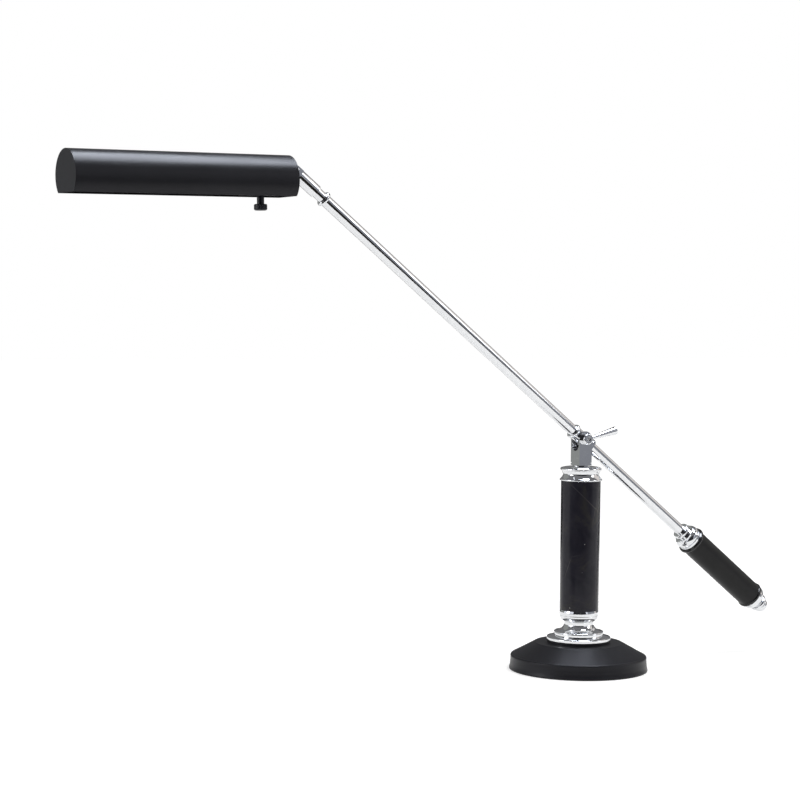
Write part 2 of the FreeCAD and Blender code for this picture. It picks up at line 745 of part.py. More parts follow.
def down_arm(distance):
    """Where a piece lies whose own +Z runs down the arm, from a distance below the pivot."""
    return {"x": cos(arm_elevation) * distance, "z": pivot_z - sin(arm_elevation) * distance,
            "axis": (0, 1, 0), "angle": arm_elevation + 90}


# Arm: a solid coupling on the clamp screw, and a tube on each side of it
def make_arm():
    spigot_end = bead_end + coupling_spigot_length
    bead_length = bead_end - bead_start
    swell = bead_length / 4
    coupling = turned_blank("coupling_blank", [
        (ZERO, -spigot_end),
        (arm_bore - running, -spigot_end),
        (arm_bore - running, -bead_end),
        (bead_radius - swell, -bead_end),
        (bead_radius - swell, -bead_start, swell),
        (barrel_radius, -bead_start),
        (barrel_radius, bead_start),
        (bead_radius - swell, bead_start),
        (bead_radius - swell, bead_end, swell),
        (arm_bore - running, bead_end),
        (arm_bore - running, spigot_end),
        (ZERO, spigot_end)],
        **along_arm(ZERO))
    flats = block("coupling_flats", spigot_end * 4, slot_width - fitting * 2, spigot_end * 4,
                  z=pivot_z - spigot_end * 2)
    round_end = cylinder("coupling_round_end", bead_radius * 2, spigot_end, **along_arm(bead_start))
    bore = cylinder("coupling_bore", screw_radius + running, fork_width * 2, y=fork_width, z=pivot_z,
                    axis=(1, 0, 0), angle=as_size(90))
    milled = common("coupling_milled", coupling, fuse("coupling_room", flats, round_end))
    keep(cut("coupling_finished", milled, bore), "arm_coupling")

    def tube(label, length, where):
        turned(label, [
            (arm_bore, ZERO), (arm_radius, ZERO), (arm_radius, length), (arm_bore, length)],
            **where)

    tube("arm_tube_upper", upper_tube_end - bead_end, along_arm(bead_end))
    tube("arm_tube_lower", lower_tube_end - bead_end, down_arm(bead_end))
    journal_end = ferrule_length + head_neck_length + head_socket_length() + retainer_height
    turned("arm_ferrule", [
        (journal_bore, -ferrule_spigot_length),
        (arm_bore - running, -ferrule_spigot_length),
        (arm_bore - running, ZERO),
        (ferrule_radius - ferrule_length / 4, ZERO),
        (ferrule_radius - ferrule_length / 4, ferrule_length, ferrule_length / 4),
        (journal_radius, ferrule_length),
        (journal_radius, journal_end),
        (journal_bore, journal_end)],
        **along_arm(upper_tube_end))
    turned("swivel_retainer", [
        (journal_radius + running / 2, ZERO), (retainer_radius, ZERO),
        (retainer_radius, retainer_height - gap), (journal_radius + running / 2, retainer_height - gap)],
        **along_arm(upper_tube_end + journal_end - retainer_height + gap))


def head_start():
    return upper_tube_end + ferrule_length + gap


def head_socket_length():
    """The stretch of the head between its neck and the pocket for the retainer."""
    return hinge_distance - ear_length - retainer_height - head_neck_length - (
        upper_tube_end + ferrule_length) - gap * 4


# Head: a barrel that swivels on the ferrule, with two ears for the hinge pin
def make_head():
    barrel_end = hinge_distance - ear_length
    start = head_start()
    pocket_depth = retainer_height + gap * 4
    length = barrel_end - start
    barrel = turned_blank("barrel_blank", [
        (journal_radius + running, ZERO),
        (head_neck_radius, ZERO),
        (head_neck_radius, head_neck_length),
        (head_radius, head_neck_length + head_step_length),
        (head_radius, length),
        (retainer_radius + fitting * 2, length),
        (retainer_radius + fitting * 2, length - pocket_depth),
        (journal_radius + running, length - pocket_depth)],
        **along_arm(start))
    hinge_x = -(cos(arm_elevation) * hinge_distance)
    hinge_z = pivot_z + sin(arm_elevation) * hinge_distance
    outer = head_radius - ear_inset
    inner = tongue_width / 2 + fitting
    ears = []
    for name, top in (("near", -inner), ("far", outer)):
        cheek = cylinder(f"ear_end_{name}", ear_radius, outer - inner, x=hinge_x, y=top, z=hinge_z,
                         axis=(1, 0, 0), angle=as_size(90))
        plate = DOC.addObject("Part::Box", f"ear_plate_{name}")
        bind(plate, "Length", ear_radius * 2)
        bind(plate, "Width", outer - inner)
        bind(plate, "Height", ear_length)
        foot = hinge_distance - ear_length
        place(plate, x=-(cos(arm_elevation) * foot) - sin(arm_elevation) * ear_radius,
              y=top - (outer - inner),
              z=pivot_z + sin(arm_elevation) * foot - cos(arm_elevation) * ear_radius,
              axis=(0, 1, 0), angle=arm_elevation - 90)
        ears += [cheek, plate]
    bore = cylinder("ear_bore", pin_radius + fitting / 2, head_radius * 4, x=hinge_x,
                    y=head_radius * 2, z=hinge_z, axis=(1, 0, 0), angle=as_size(90))
    keep(cut("head_finished", fuse("head_solid", barrel, *ears), bore), "head_barrel")

    half = head_radius + gap
    turned("hinge_pin", [
        (ZERO, ZERO), (pin_radius, ZERO), (pin_radius, half * 2),
        (pin_head_radius, half * 2), (pin_head_radius, half * 2 + pin_head_height / 2),
        (pin_head_radius - pin_head_height / 2, half * 2 + pin_head_height),
        (ZERO, half * 2 + pin_head_height)],
        x=hinge_x, y=half, z=hinge_z, axis=(1, 0, 0), angle=as_size(90))


# Shade: everything here is placed from the hinge pin.
# Cut and fused pieces are made level and then turned to the droop; turned ones are placed in it.
def hinge_point():
    return (-(cos(arm_elevation) * hinge_distance), pivot_z + sin(arm_elevation) * hinge_distance)


def shade_end():
    """The outer face of the shade's end that the arm carries, and the height of its axis."""
    hinge_x, hinge_z = hinge_point()
    return hinge_x - hinge_to_shade, hinge_z - hinge_above_axis


def facing_out(distance, up=ZERO):
    """Where a piece lies whose own +Z runs along the level shade, away from the arm."""
    end_x, axis_z = shade_end()
    return {"x": end_x - distance, "z": axis_z + up, "axis": (0, 1, 0), "angle": as_size(-90)}


def droop_point(distance, up):
    """Where a point of the shade lies once the shade droops: x and z."""
    hinge_x, hinge_z = hinge_point()
    back = hinge_to_shade + distance
    rise = up - hinge_above_axis
    return (hinge_x - cos(shade_droop) * back - sin(shade_droop) * rise,
            hinge_z - sin(shade_droop) * back + cos(shade_droop) * rise)


def along_shade(distance, up=ZERO):
    """Where a piece lies whose own +Z runs along the drooping shade, away from the arm."""
    x, z = droop_point(distance, up)
    return {"x": x, "z": z, "axis": (0, 1, 0), "angle": as_size(-90) - shade_droop}


def drooped(item):
    """Turn a piece that was made level about the hinge pin, to the shade's droop."""
    hinge_x, hinge_z = hinge_point()
    return place(item, x=hinge_x - hinge_x * cos(shade_droop) + hinge_z * sin(shade_droop),
                 z=hinge_z - hinge_x * sin(shade_droop) - hinge_z * cos(shade_droop),
                 axis=(0, 1, 0), angle=-shade_droop)


def d_section(name, radius, chord, distance, length):
    """A round bar along the shade with its lower side cut flat."""
    end_x, axis_z = shade_end()
    bar = cylinder(f"{name}_round", radius, length, **facing_out(distance))
    keep_box = block(f"{name}_keep", length * 3, radius * 4, radius * 4,
                     x=end_x - distance - length / 2, z=axis_z - chord)
    return common(name, bar, keep_box)


def make_shade():
    end_x, axis_z = shade_end()
    inner_radius = shade_radius - shade_wall
    tube_length = shade_length - cap_plate * 2
    outer = d_section("shade_outer", shade_radius, shade_chord, cap_plate, tube_length)
    inner = d_section("shade_inner", inner_radius, shade_chord - shade_wall,
                      cap_plate - cap_flange, tube_length + cap_flange * 2)
    half_opening = Size((shade_radius.value ** 2 - shade_chord.value ** 2) ** 0.5,
                        f"sqrt({shade_radius.formula}^2 - {shade_chord.formula}^2)") - shade_lip
    opening = block("shade_opening", shade_length * 2, half_opening * 2, shade_wall * 4,
                    x=end_x - shade_length / 2, z=axis_z - shade_chord - shade_wall * 2)
    keep(drooped(cut("shade_shell", outer, fuse("shade_cuts", inner, opening))), "shade_tube")

    def end_cap(label, plate_at, flange_at):
        plate = d_section(f"{label}_plate", shade_radius, shade_chord, plate_at, cap_plate)
        rim = inner_radius - fitting
        skirt = d_section(f"{label}_skirt", rim, shade_chord - shade_wall - fitting, flange_at,
                          cap_flange)
        hollow = d_section(f"{label}_hollow", rim - shade_wall,
                           shade_chord - shade_wall * 2 - fitting, flange_at, cap_flange)
        notch = block(f"{label}_notch", cap_flange, half_opening * 2, shade_wall * 4,
                      x=end_x - flange_at - cap_flange / 2, z=axis_z - shade_chord - shade_wall)
        skirt_ring = cut(f"{label}_ring", skirt, fuse(f"{label}_cuts", hollow, notch))
        return fuse(f"{label}_solid", plate, skirt_ring)

    outer_cap = end_cap("outer_cap", shade_length - cap_plate,
                        shade_length - cap_plate - cap_flange)
    keep(drooped(outer_cap), "shade_outer_cap")
    hole = cylinder("tongue_hole", tongue_stud_radius + fitting, cap_plate * 3,
                    **facing_out(-cap_plate, up=hinge_above_axis))
    inner_cap = cut("inner_cap_drilled", end_cap("inner_cap", ZERO, cap_plate), hole)
    keep(drooped(inner_cap), "shade_inner_cap")


# Hinge tongue, its nut, and the bracket that carries the socket
def make_socket():
    hinge_x, hinge_z = hinge_point()
    knuckle = cylinder("tongue_knuckle", ear_radius, tongue_width, x=hinge_x, y=tongue_width / 2,
                       z=hinge_z, axis=(1, 0, 0), angle=as_size(90))
    bar = block("tongue_bar", hinge_to_shade, tongue_width, ear_radius * 2,
                x=hinge_x - hinge_to_shade / 2, z=hinge_z - ear_radius)
    stud_length = cap_plate + bracket_thickness + tongue_nut_height + stud_stand_out
    stud = cylinder("tongue_stud", tongue_stud_radius, stud_length,
                    **facing_out(ZERO, up=hinge_above_axis))
    bore = cylinder("tongue_bore", pin_radius + running, head_radius * 4, x=hinge_x,
                    y=head_radius * 2, z=hinge_z, axis=(1, 0, 0), angle=as_size(90))
    tongue = cut("tongue_finished", fuse("tongue_solid", knuckle, bar, stud), bore)
    keep(drooped(tongue), "hinge_tongue")

    end_x, axis_z = shade_end()
    bracket_start = cap_plate
    bracket_end = bracket_start + bracket_thickness
    plate = block("bracket_plate", bracket_thickness, bracket_width, bracket_top + bracket_bottom,
                  x=end_x - bracket_start - bracket_thickness / 2, z=axis_z - bracket_bottom)
    stud_hole = cylinder("bracket_stud_hole", tongue_stud_radius + fitting, bracket_thickness * 3,
                         **facing_out(bracket_start - bracket_thickness, up=hinge_above_axis))
    nipple_hole = cylinder("bracket_nipple_hole", nipple_radius + running, bracket_thickness * 3,
                           **facing_out(bracket_start - bracket_thickness))
    bracket = cut("bracket_drilled", plate, fuse("bracket_holes", stud_hole, nipple_hole))
    keep(drooped(bracket), "socket_bracket")
    hex_nut("tongue_nut", tongue_nut_flats, tongue_stud_radius + running, tongue_nut_height,
            **along_shade(bracket_end, up=hinge_above_axis))
    nipple_length = socket_start + nipple_reach - bracket_start
    turned("socket_nipple", [
        (nipple_bore, ZERO), (nipple_radius, ZERO), (nipple_radius, nipple_length),
        (nipple_bore, nipple_length)],
        **along_shade(bracket_start))

    cup_start = socket_solid_length
    socket_end = socket_solid_length + socket_cup_length
    body = turned_blank("socket_blank", [
        (nipple_radius + running, ZERO),
        (socket_radius - socket_edge, ZERO),
        (socket_radius, socket_edge, socket_edge_swell),
        (socket_radius, socket_end),
        (socket_cup_radius, socket_end),
        (socket_cup_radius, cup_start),
        (ZERO, cup_start),
        (ZERO, nipple_reach + fitting),
        (nipple_radius + running, nipple_reach + fitting)],
        **facing_out(socket_start))
    stem_hole = cylinder("stem_hole", stem_radius + running, stem_insert + fitting * 3,
                         x=end_x - switch_distance, z=axis_z - socket_radius - fitting)
    keep(drooped(cut("socket_drilled", body, stem_hole)), "socket_body")

    shell_start = socket_start + cup_start
    turned("socket_screw_shell", [
        (contact_radius * 2, ZERO), (screw_shell_radius, ZERO),
        (screw_shell_radius, socket_cup_length - screw_shell_setback),
        (screw_shell_radius - screw_shell_wall, socket_cup_length - screw_shell_setback),
        (screw_shell_radius - screw_shell_wall, screw_shell_wall),
        (contact_radius * 2, screw_shell_wall)],
        **along_shade(shell_start))
    turned("socket_contact", [
        (ZERO, ZERO), (contact_radius, ZERO), (contact_radius, contact_height / 2),
        (tip_flat, contact_height, contact_height / 8), (ZERO, contact_height)],
        **along_shade(shell_start))

    tip_start = shell_start + contact_height + fitting
    base_start = bulb_tip_height
    turned("bulb_base", [
        (ZERO, ZERO), (bulb_tip_radius, ZERO), (bulb_tip_radius + bulb_tip_flare, base_start),
        (bulb_base_radius, base_start + bulb_base_taper),
        (bulb_base_radius, base_start + bulb_base_length),
        (ZERO, base_start + bulb_base_length)],
        **along_shade(tip_start))
    shoulder = bulb_radius - bulb_neck_radius
    turned("bulb_glass", [
        (bulb_neck_radius - bulb_wall, ZERO),
        (bulb_neck_radius, ZERO),
        (bulb_neck_radius, shoulder),
        (bulb_radius, shoulder * 3, shoulder / 5),
        (bulb_radius, bulb_length - bulb_radius),
        (tip_flat, bulb_length, bulb_radius / 4),
        (ZERO, bulb_length),
        (ZERO, bulb_length - bulb_wall),
        (tip_flat, bulb_length - bulb_wall),
        (bulb_radius - bulb_wall, bulb_length - bulb_radius, -(bulb_radius / 4)),
        (bulb_radius - bulb_wall, shoulder * 3),
        (bulb_neck_radius - bulb_wall, shoulder, -(shoulder / 5))],
        **along_shade(tip_start + base_start + bulb_base_length))


# Switch: a stem in the socket and a ribbed knob below the shade
def make_switch():
    end_x, axis_z = shade_end()
    knob_top = axis_z - knob_drop
    stem_top = stem_insert - socket_radius
    stem_bottom = fitting - knob_drop - knob_bore_depth
    stem_x, stem_z = droop_point(switch_distance, stem_bottom)
    stem = cylinder("stem_bar", stem_radius, stem_top - stem_bottom, x=stem_x, z=stem_z,
                    axis=(0, 1, 0), angle=-shade_droop)
    keep(stem, "switch_stem")
    edge = knob_height / 8
    knob = turned_blank("knob_blank", [
        (ZERO, ZERO), (knob_radius - edge * 2, ZERO), (knob_radius, edge * 2, edge / 2),
        (knob_radius, knob_height - edge), (knob_radius - edge, knob_height),
        (stem_radius + running / 2, knob_height),
        (stem_radius + running / 2, knob_height - knob_bore_depth),
        (ZERO, knob_height - knob_bore_depth)],
        x=end_x - switch_distance, z=knob_top - knob_height)
    grooves = []
    for index in range(int(knob_rib_count.value)):
        turn = as_size(360 * index) / knob_rib_count
        grooves.append(cylinder(
            f"knob_groove_{index}", knob_rib_depth * 2, knob_height * 2,
            x=end_x - switch_distance + cos(turn) * (knob_radius + knob_rib_depth),
            y=sin(turn) * (knob_radius + knob_rib_depth), z=knob_top - knob_height * 3 / 2))
    keep(drooped(cut("knob_ribbed", knob, fuse("knob_grooves", *grooves))), "switch_knob")


# Counterweight on the lower tube
def make_counterweight():
    hole = arm_radius + running
    swell = collar_bead_length / 4
    turned("counterweight_collar", [
        (hole, ZERO),
        (collar_bead_radius - swell, ZERO),
        (collar_bead_radius - swell, collar_bead_length, swell),
        (collar_neck_radius, collar_bead_length),
        (collar_neck_radius, collar_bead_length + collar_neck_length),
        (hole, collar_bead_length + collar_neck_length)],
        **down_arm(collar_start))
    bell_start = collar_start + collar_bead_length + collar_neck_length
    turned("counterweight_front_cap", [
        (hole, ZERO),
        (bell_mouth_radius, ZERO),
        (bell_mouth_radius, bell_length / 8),
        (bell_radius - bell_bulge / 2, bell_length * 3 / 4, bell_bulge),
        (bell_radius, bell_length * 3 / 4),
        (bell_radius, bell_length),
        (hole, bell_length)],
        **down_arm(bell_start))
    sleeve_start = bell_start + bell_length
    core_length = sleeve_length + ring_length * 2
    tube_depth = lower_tube_end - sleeve_start
    turned("counterweight_core", [
        (hole, ZERO), (core_radius, ZERO), (core_radius, core_length),
        (finial_screw_radius + running, core_length),
        (finial_screw_radius + running, core_length - finial_screw_length),
        (ZERO, core_length - finial_screw_length),
        (ZERO, tube_depth + gap),
        (hole, tube_depth + gap)],
        **down_arm(sleeve_start))
    bore = core_radius + running

    def ring(label, radius, start):
        edge = ring_length / 4
        turned(label, [
            (bore, ZERO), (radius - edge, ZERO), (radius - edge, ring_length, edge),
            (bore, ring_length)],
            **down_arm(start))

    ring("counterweight_front_ring", front_ring_radius, sleeve_start)
    turned("counterweight_sleeve", [
        (bore, ZERO), (sleeve_radius, ZERO), (sleeve_radius, sleeve_length), (bore, sleeve_length)],
        **down_arm(sleeve_start + ring_length))
    ring("counterweight_rear_ring", rear_ring_radius, sleeve_start + ring_length + sleeve_length)

    dome_start = sleeve_start + core_length
    screw_hole = finial_screw_radius + running
    turned("counterweight_rear_cap", [
        (screw_hole, ZERO), (dome_radius, ZERO), (dome_radius, dome_length / 6),
        (dome_shoulder_radius, dome_length, dome_length / 6), (screw_hole, dome_length)],
        **down_arm(dome_start))
    disc_start = finial_neck_length
    disc_end = disc_start + finial_disc_length
    knob_start = disc_end + finial_neck_length / 2
    knob_end = knob_start + finial_knob_length
    disc_edge = finial_disc_length / 4
    turned("counterweight_finial", [
        (ZERO, -(dome_length + finial_screw_length - finial_screw_room)),
        (finial_screw_radius, -(dome_length + finial_screw_length - finial_screw_room)),
        (finial_screw_radius, ZERO),
        (finial_neck_radius, ZERO),
        (finial_neck_radius, disc_start),
        (finial_disc_radius - disc_edge, disc_start),
        (finial_disc_radius - disc_edge, disc_end, disc_edge),
        (finial_neck_radius, disc_end),
        (finial_neck_radius, knob_start),
        (finial_knob_radius, knob_start + finial_knob_length / 4, finial_knob_length / 12),
        (finial_knob_radius * 3 / 5, knob_end - finial_knob_length / 8, finial_knob_length / 8),
        (tip_flat, knob_end, finial_knob_length / 40), (ZERO, knob_end)],
        **down_arm(dome_start + dome_length))


def check():
    """Stop before anything is written if an object failed or a piece is empty or broken."""
    failed = [item.Name for item in DOC.Objects
              if "Invalid" in item.State or "Error" in item.State]
    failed += [item.Label for item in PARTS
               if item.Shape.isNull() or not item.Shape.isValid() or not item.Shape.Solids]
    if failed:
        raise RuntimeError("failed: " + ", ".join(failed))


def main():
    make_base()
    make_rod()
    make_column()
    make_fork()
    make_clamp()
    make_arm()
    make_head()
    make_shade()
    make_socket()
    make_switch()
    make_counterweight()
    DOC.recompute()
    check()
    os.makedirs("parts", exist_ok=True)
    for item in PARTS:
        item.Shape.exportStep(os.path.join("parts", item.Label + ".step"))
        print(item.Label, len(item.Shape.Solids), round(item.Shape.Volume, 1))


main()
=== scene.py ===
import json
import math

import bpy
from mathutils import Matrix, Quaternion, Vector

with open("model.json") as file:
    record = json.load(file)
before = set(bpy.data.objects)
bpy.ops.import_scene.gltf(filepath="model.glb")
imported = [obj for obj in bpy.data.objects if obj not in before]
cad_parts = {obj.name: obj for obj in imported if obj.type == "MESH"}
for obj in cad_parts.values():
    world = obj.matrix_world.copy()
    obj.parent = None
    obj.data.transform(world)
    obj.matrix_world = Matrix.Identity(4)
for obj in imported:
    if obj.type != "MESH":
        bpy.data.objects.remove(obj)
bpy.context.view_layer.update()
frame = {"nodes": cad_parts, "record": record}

NODES = frame["nodes"]

UP = Vector((0, 0, 1))
DOWN = (0, 0, -1)

# Camera: place in metres, angles in degrees, lens and sensor in millimetres (22.7 degrees wide)
CAMERA_PLACE = Vector((-1.42266, -1.89179, 0.41397))
CAMERA_TURN = 31.7306
CAMERA_PITCH = 2.3472
CAMERA_ROLL = -0.6481
CAMERA_LENS = 89.87
CAMERA_SENSOR = 36
CAMERA_REACH = 100

# Level directions: from the lamp towards the camera, and to the right of the camera's view
TO_CAMERA = Vector((-0.5256, -0.8507, 0))
TO_RIGHT = Vector((0.8507, -0.5256, 0))

# Pale floor: its own colour, its glow to the camera, and the part of the glow that metal reflects
FLOOR_SIZE = 30
FLOOR_COLOUR = (0.8, 0.8, 0.8)
FLOOR_MOTTLE = 0.995
FLOOR_GLOW = 0.72
FLOOR_REFLECTED = 0.6
FLOOR_NEAR_TONE = 0.8
FLOOR_FADE = (0.5, 3.5)

# World: what lights the object, what metal reflects, and what the camera sees
WORLD_LIT = ((1, 1, 1), 0.4)
WORLD_REFLECTED = ((0.9, 0.92, 1.0), 0.92)
WORLD_SEEN = ((1, 1, 1), 1.0)

# Dark parts of the floor, for reflections only: (name, to the right, near, far, width)
DARK_FLOOR_COLOUR = (0.02, 0.018, 0.016)
DARK_FLOOR_LIFT = 0.004
DARK_FLOORS = (
    ("dark_front_floor", 0.6, 0.75, 4.35, 7.0),
    ("dark_left_floor", -1.0, 0.45, 0.75, 1.3),
    ("dark_back_floor", 0.0, -2.6, -1.0, 3.2),
)

# Upright cards, for reflections only: (name, angle, distance, low edge, high edge, width, colour)
REFLECTION_CARDS = (
    ("dark_front_wall", 0, 3.2, 0.0, 3.0, 5.0, (0.03, 0.03, 0.034)),
    ("dark_back_edge", 180, 2.6, 0.0, 0.34, 3.2, (0.03, 0.03, 0.03)),
    ("grey_right_wall", 74, 2.6, 0.0, 1.35, 2.6, (0.26, 0.27, 0.30)),
    ("grey_back_right_wall", 130, 2.8, 0.0, 1.0, 1.8, (0.28, 0.28, 0.28)),
    ("grey_back_left_wall", -125, 2.8, 0.0, 3.0, 2.4, (0.30, 0.31, 0.30)),
    ("pale_right_wall", 118, 3.4, 0.0, 3.0, 4.6, (0.8, 0.75, 0.72)),
    ("grey_back_wall", 180, 3.0, 0.0, 3.0, 6.4, (0.2, 0.2, 0.205)),
)

# Overhead strip, for the long highlight on the shade, and the ceiling above it
STRIP_PLACE = (0.28, -0.12, 2.5)
STRIP_SIZE = (0.8, 1.6)
STRIP_TURN = 24
STRIP_COLOUR = (0.84, 0.89, 1.0)
STRIP_GLOW = 25.5
CEILING_PLACE = (0, 0, 3.0)
CEILING_SIZE = 9
CEILING_COLOUR = (0.2, 0.2, 0.21)


def is_socket(value):
    return isinstance(value, bpy.types.NodeSocket)


def math_node(tree, operation, first, second):
    """A Math node: each input is another node's output or a plain number."""
    node = tree.nodes.new("ShaderNodeMath")
    node.operation = operation
    for socket, value in zip(node.inputs, (first, second)):
        if is_socket(value):
            tree.links.new(value, socket)
        else:
            socket.default_value = value
    return node.outputs[0]


class Shader:
    """A material with a Principled shader and short calls for the nodes that feed it."""

    def __init__(self, name):
        self.material = bpy.data.materials.new(name)
        self.material.use_nodes = True
        self.tree = self.material.node_tree
        self.tree.nodes.clear()
        self.surface = self.tree.nodes.new("ShaderNodeBsdfPrincipled")
        output = self.tree.nodes.new("ShaderNodeOutputMaterial")
        self.link(self.surface.outputs[0], output.inputs["Surface"])
        self.place = self.tree.nodes.new("ShaderNodeTexCoord").outputs["Object"]

    def link(self, source, target):
        self.tree.links.new(source, target)

    def set(self, **values):
        """Constants on the shader's own sockets."""
        for name, value in values.items():
            self.surface.inputs[name.replace("_", " ")].default_value = value

    def feed(self, name, source):
        """A node's output into one of the shader's sockets."""
        self.link(source, self.surface.inputs[name])

    def stretch(self, scale):
        """The object's coordinates, scaled along each axis."""
        node = self.tree.nodes.new("ShaderNodeMapping")
        node.inputs["Scale"].default_value = scale
        self.link(self.place, node.inputs["Vector"])
        return node.outputs[0]

    def noise(self, scale, detail=4, rough=0.5, twist=0, at=None):
        node = self.tree.nodes.new("ShaderNodeTexNoise")
        node.inputs["Scale"].default_value = scale
        node.inputs["Detail"].default_value = detail
        node.inputs["Roughness"].default_value = rough
        node.inputs["Distortion"].default_value = twist
        self.link(at or self.place, node.inputs["Vector"])
        return node.outputs["Fac"]

    def cells(self, scale, feature="F1", at=None):
        node = self.tree.nodes.new("ShaderNodeTexVoronoi")
        node.feature = feature
        node.inputs["Scale"].default_value = scale
        self.link(at or self.place, node.inputs["Vector"])
        return node.outputs["Distance"]

    def ramp(self, source, *stops):
        """Colours along a value: the stops are (position, colour or grey level)."""
        node = self.tree.nodes.new("ShaderNodeValToRGB")
        ends = node.color_ramp.elements
        while len(ends) < len(stops):
            ends.new(0.5)
        for end, (position, colour) in zip(ends, stops):
            end.position = position
            end.color = (*colour, 1) if isinstance(colour, tuple) else (colour, colour, colour, 1)
        self.link(source, node.inputs[0])
        return node.outputs[0]

    def tint(self, source, first, second, start=0.3, end=0.7):
        """The base colour, from one colour to another as a noise rises."""
        self.feed("Base Color", self.ramp(source, (start, first), (end, second)))

    def span(self, source, low, high, start=0.3, end=0.7):
        """A value mapped from start and end to low and high."""
        node = self.tree.nodes.new("ShaderNodeMapRange")
        sockets = ("From Min", "From Max", "To Min", "To Max")
        for name, value in zip(sockets, (start, end, low, high)):
            node.inputs[name].default_value = value
        self.link(source, node.inputs["Value"])
        return node.outputs[0]

    def mix(self, factor, first, second, how="MIX"):
        """Two colours mixed: each input is another node's output, a colour or a number."""
        node = self.tree.nodes.new("ShaderNodeMix")
        node.data_type = "RGBA"
        node.blend_type = how
        sockets = (node.inputs[0], node.inputs[6], node.inputs[7])
        for socket, value in zip(sockets, (factor, first, second)):
            if is_socket(value):
                self.link(value, socket)
            elif isinstance(value, tuple):
                socket.default_value = (*value, 1)
            else:
                socket.default_value = value
        return node.outputs[2]

    def bump(self, height, strength, depth):
        """Fine relief: depth is in metres."""
        node = self.tree.nodes.new("ShaderNodeBump")
        node.inputs["Strength"].default_value = strength
        node.inputs["Distance"].default_value = depth
        self.link(height, node.inputs["Height"])
        self.feed("Normal", node.outputs[0])


def black_paint():
    """Satin black enamel with a faint orange peel."""
    s = Shader("satin_black_paint")
    peel = s.noise(900, 2)
    cloud = s.noise(14, 5)
    s.tint(cloud, (0.017, 0.017, 0.0205), (0.022, 0.022, 0.0265))
    s.feed("Roughness", s.span(cloud, 0.31, 0.36))
    s.bump(peel, 0.12, 0.0002)
    s.set(IOR=1.5, Specular_IOR_Level=0.19)
    return s.material


def chrome():
    """Bright plating with faint wiping marks."""
    s = Shader("polished_chrome")
    wipe = s.noise(60, 6, 0.6, 1.5)
    s.tint(wipe, (0.80, 0.81, 0.83), (0.86, 0.87, 0.88))
    s.feed("Roughness", s.span(wipe, 0.025, 0.06))
    s.bump(s.noise(350, 2), 0.03, 0.0001)
    s.set(Metallic=1.0)
    return s.material


def marble():
    """Polished blue-black stone with warmer clouds, thin veins and a few pale specks."""
    s = Shader("black_marble")
    black = (0, 0, 0)
    cloud = s.noise(26, 8, 0.6, 0.8)
    body = s.ramp(cloud, (0.38, (0.0135, 0.0133, 0.021)), (0.55, (0.022, 0.0208, 0.029)),
                  (0.72, (0.04, 0.038, 0.032)))
    vein_edge = s.cells(34, "DISTANCE_TO_EDGE", s.stretch((1, 1, 0.45)))
    vein_line = s.ramp(vein_edge, (0.0, 1.0), (0.016, 0.0))
    vein_colour = s.ramp(s.noise(18, 3), (0.52, 0.0), (0.68, (0.075, 0.07, 0.06)))
    vein = s.mix(vein_line, black, vein_colour)
    speck = s.ramp(s.cells(170), (0.05, (0.5, 0.5, 0.48)), (0.1, 0.0))
    rare_speck = s.mix(s.ramp(s.noise(45, 2), (0.6, 0.0), (0.64, 1.0)), black, speck)
    s.feed("Base Color", s.mix(1.0, s.mix(1.0, body, vein, "ADD"), rare_speck, "ADD"))
    s.feed("Roughness", s.span(cloud, 0.15, 0.21))
    s.bump(s.noise(120, 3), 0.03, 0.0002)
    s.set(IOR=1.5, Specular_IOR_Level=0.22, Coat_Weight=0.06, Coat_Roughness=0.06)
    return s.material


def cast_iron():
    """Rough grey casting, inside the base."""
    s = Shader("rough_cast_iron")
    grain = s.noise(420, 6, 0.7)
    s.tint(s.noise(30, 5), (0.035, 0.034, 0.033), (0.085, 0.075, 0.068))
    s.feed("Roughness", s.span(grain, 0.6, 0.9))
    s.bump(grain, 0.6, 0.0006)
    s.set(Metallic=0.4)
    return s.material


def steel():
    """Zinc-plated steel with fine turning marks."""
    s = Shader("zinc_plated_steel")
    marks = s.noise(900, 3, 0.5, 0, s.stretch((1, 1, 6)))
    s.tint(s.noise(80, 4), (0.44, 0.45, 0.47), (0.6, 0.6, 0.6))
    s.feed("Roughness", s.span(marks, 0.22, 0.38))
    s.bump(marks, 0.15, 0.0002)
    s.set(Metallic=1.0)
    return s.material


def felt():
    """Black felt with short fibres, under the base."""
    s = Shader("black_felt")
    fibre = s.noise(1500, 8, 0.75, 2.0)
    s.tint(fibre, (0.008, 0.008, 0.008), (0.035, 0.035, 0.037), end=0.75)
    s.bump(fibre, 0.9, 0.0008)
    s.set(Roughness=0.95, Sheen_Weight=0.4, Sheen_Roughness=0.6)
    return s.material


def black_rubber():
    """Glossy moulded black, for the counterweight's rings and the cord bushing."""
    s = Shader("moulded_black_rubber")
    skin = s.noise(160, 4)
    s.tint(skin, (0.008, 0.008, 0.009), (0.016, 0.016, 0.016))
    s.feed("Roughness", s.span(skin, 0.16, 0.26))
    s.bump(s.noise(600, 2), 0.08, 0.0002)
    return s.material


def sleeve_black():
    """Matt black powder coat on the counterweight."""
    s = Shader("matt_black_coat")
    grain = s.noise(1300, 3, 0.6)
    s.tint(s.noise(40, 4), (0.008, 0.0079, 0.0084), (0.0115, 0.0112, 0.0115))
    s.feed("Roughness", s.span(grain, 0.34, 0.44))
    s.bump(grain, 0.2, 0.0002)
    s.set(Specular_IOR_Level=0.26)
    return s.material


def black_plastic():
    """Moulded black plastic of the switch and the socket."""
    s = Shader("moulded_black_plastic")
    skin = s.noise(240, 4)
    s.tint(skin, (0.008, 0.0085, 0.014), (0.014, 0.015, 0.022))
    s.feed("Roughness", s.span(skin, 0.22, 0.34))
    s.bump(skin, 0.06, 0.0002)
    return s.material


